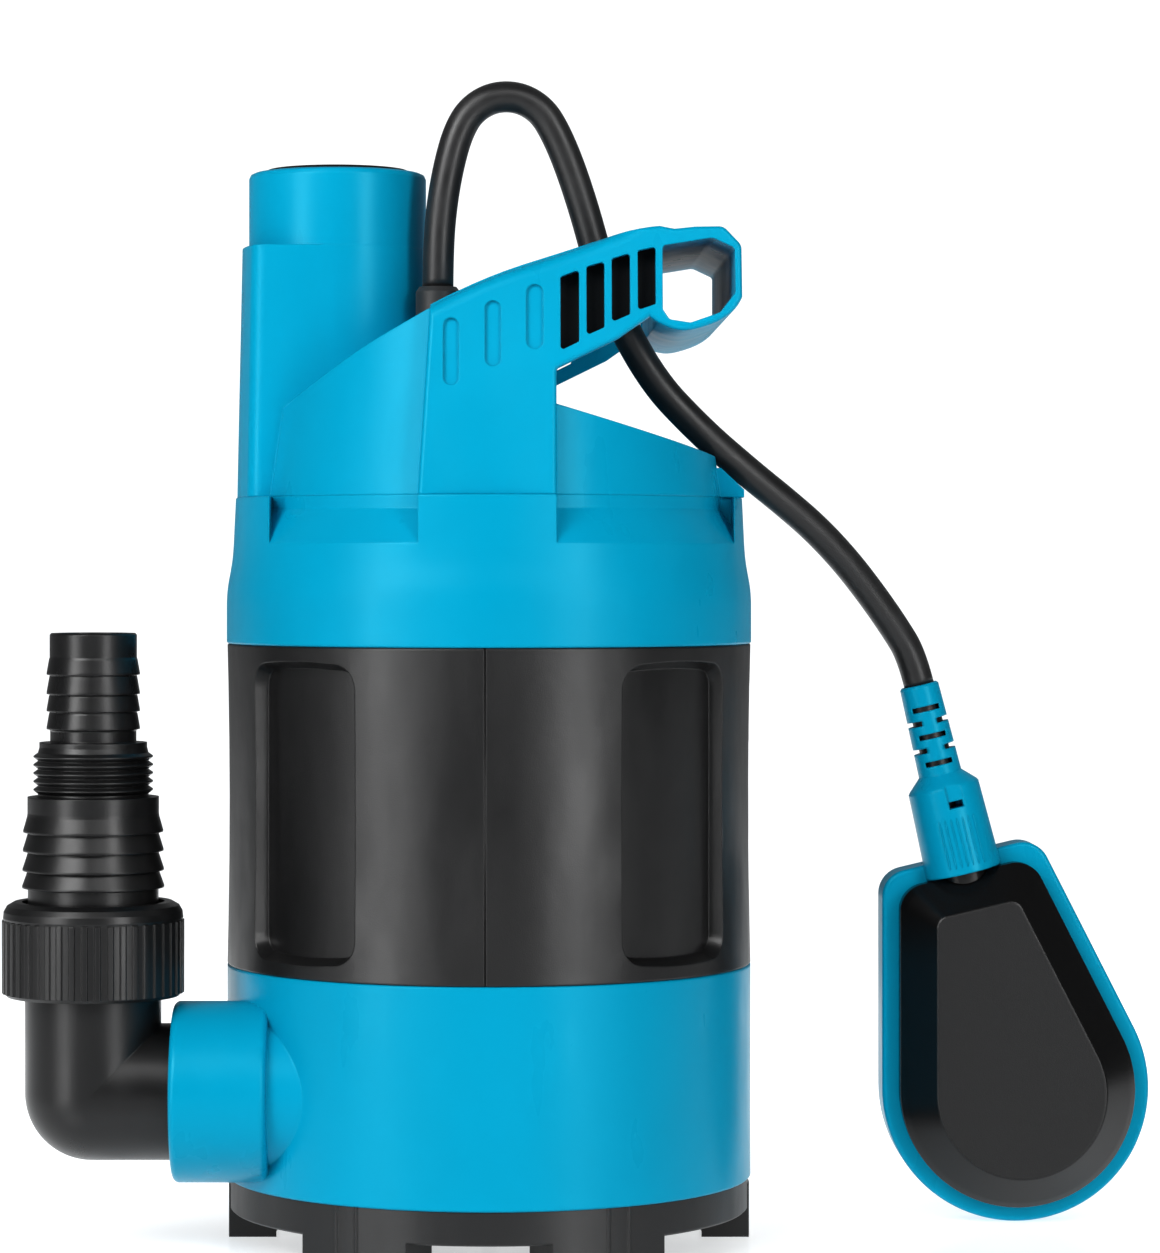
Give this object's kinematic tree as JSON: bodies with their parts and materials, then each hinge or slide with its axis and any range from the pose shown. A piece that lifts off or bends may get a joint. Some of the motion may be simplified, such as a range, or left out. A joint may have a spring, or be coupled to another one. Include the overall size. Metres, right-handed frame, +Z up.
{
  "type": "submersible pump",
  "caption": "Round submersible water pump with carrying handle, plugged top outlet, side outlet with elbow and stepped hose adapter, and a float switch on a short cable.",
  "frame": {"origin": "on the pump's axis, in the plane of its feet", "axes": "+Z up along the motor shaft; -Y front, towards the side outlet's offset; +X towards the float, with the side outlet pointing along -X"},
  "size_m": [0.3284, 0.1504, 0.3287],
  "materials": {
    "black_plastic": "satin moulded",
    "blue_plastic": "semi-gloss moulded",
    "cable_rubber": "satin",
    "seal_rubber": "matte",
    "inner_plastic": "matte",
    "white_plastic": "matte",
    "aluminium": "cast",
    "stainless_steel": "brushed",
    "bearing_steel": "ground",
    "lamination_steel": "stacked sheet",
    "copper": "enamelled wire",
    "brass": "turned",
    "ceramic": "lapped",
    "carbon": "lapped"
  },
  "bodies": {
    "body": {"base_screws": "stainless_steel", "can_cover": "inner_plastic", "can_seal_ring": "seal_rubber", "float_cable_gland": "black_plastic", "float_cable_upper": "cable_rubber", "front_slot_insert": "black_plastic", "head_cover": "blue_plastic", "inner_cable_tails": "seal_rubber", "intake_plate": "inner_plastic", "lip_seal": "seal_rubber", "lower_bearing_bracket": "aluminium", "lower_bearing_outer_ring": "bearing_steel", "lower_sleeve_seal": "seal_rubber", "mains_cable_gland": "black_plastic", "mid_sleeve": "black_plastic", "motor_can": "stainless_steel", "oil_chamber_cover": "aluminium", "pump_casing": "blue_plastic", "riser_pipe": "inner_plastic", "run_capacitor": "white_plastic", "seal_seat": "ceramic", "stator_core": "lamination_steel", "stator_windings": "copper", "strainer_base": "black_plastic", "terminal_block": "inner_plastic", "thermal_protector": "inner_plastic", "upper_bearing_bracket": "aluminium", "upper_bearing_outer_ring": "bearing_steel", "upper_shroud": "blue_plastic", "upper_sleeve_seal": "seal_rubber", "volute": "inner_plastic"},
    "rotor": {"shaft": "stainless_steel", "rotor_core": "lamination_steel", "rotor_end_rings": "aluminium", "impeller": "inner_plastic", "impeller_nut": "brass", "seal_head": "carbon", "seal_spring": "stainless_steel", "lower_bearing_inner_ring": "bearing_steel", "upper_bearing_inner_ring": "bearing_steel"},
    "lower_cage": {"lower_bearing_ball_cage": "bearing_steel"},
    "upper_cage": {"upper_bearing_ball_cage": "bearing_steel"},
    "outlet": {"elbow": "black_plastic", "elbow_seal_ring": "seal_rubber", "hose_adapter": "black_plastic", "adapter_gasket": "seal_rubber"},
    "nut": {"union_nut": "black_plastic"},
    "plug": {"outlet_plug": "black_plastic", "plug_seal_ring": "seal_rubber"},
    "float": {"float_rear_shell": "blue_plastic", "float_front_cover": "black_plastic", "float_seal_ring": "seal_rubber", "float_boot": "blue_plastic", "ball_track": "inner_plastic", "microswitch": "inner_plastic", "float_lead_end": "cable_rubber", "float_neck_bushing": "black_plastic", "float_cable_lower": "cable_rubber"},
    "ball": {"steel_ball": "stainless_steel"},
    "lever": {"switch_lever": "stainless_steel"}
  },
  "joints": [
    {"name": "rotor_spin", "type": "hinge", "parent": "body", "child": "rotor", "pos_m": [0, 0, 0.1], "axis": [0, 0, 1], "continuous": true},
    {"name": "lower_cage_spin", "type": "hinge", "parent": "body", "child": "lower_cage", "pos_m": [0, 0, 0.079], "axis": [0, 0, 1], "continuous": true},
    {"name": "upper_cage_spin", "type": "hinge", "parent": "body", "child": "upper_cage", "pos_m": [0, 0, 0.16], "axis": [0, 0, 1], "continuous": true},
    {"name": "elbow_turn", "type": "hinge", "parent": "body", "child": "outlet", "pos_m": [-0.08, -0.033, 0.0447], "axis": [1, 0, 0], "range_deg": [-90, 90]},
    {"name": "union_nut_turn", "type": "hinge", "parent": "outlet", "child": "nut", "pos_m": [-0.1105, -0.033, 0.085], "axis": [0, 0, 1], "continuous": true},
    {"name": "plug_turn", "type": "hinge", "parent": "body", "child": "plug", "pos_m": [-0.0435, 0, 0.296], "axis": [0, 0, 1], "continuous": true},
    {"name": "float_swing", "type": "hinge", "parent": "body", "child": "float", "pos_m": [0.0703, -0.0059, 0.2216], "axis": [0, -1, 0], "range_deg": [0, 95], "deforming": ["float_cable_lower"]},
    {"name": "ball_slide", "type": "slide", "parent": "float", "child": "ball", "axis": [-0.2334, 0, 0.9724], "range_m": [0, 0.014]},
    {"name": "lever_turn", "type": "hinge", "parent": "float", "child": "lever", "pos_m": [0.14065, 0.0205, 0.0546], "axis": [0, -1, 0], "range_deg": [0, 8.1]}
  ],
  "couplings": [
    {"joint": "lower_cage_spin", "follows": "rotor_spin", "ratio": 0.3909},
    {"joint": "upper_cage_spin", "follows": "rotor_spin", "ratio": 0.3909},
    {"joint": "lever_turn", "follows": "ball_slide", "rad_per_m": 9.9733}
  ]
}
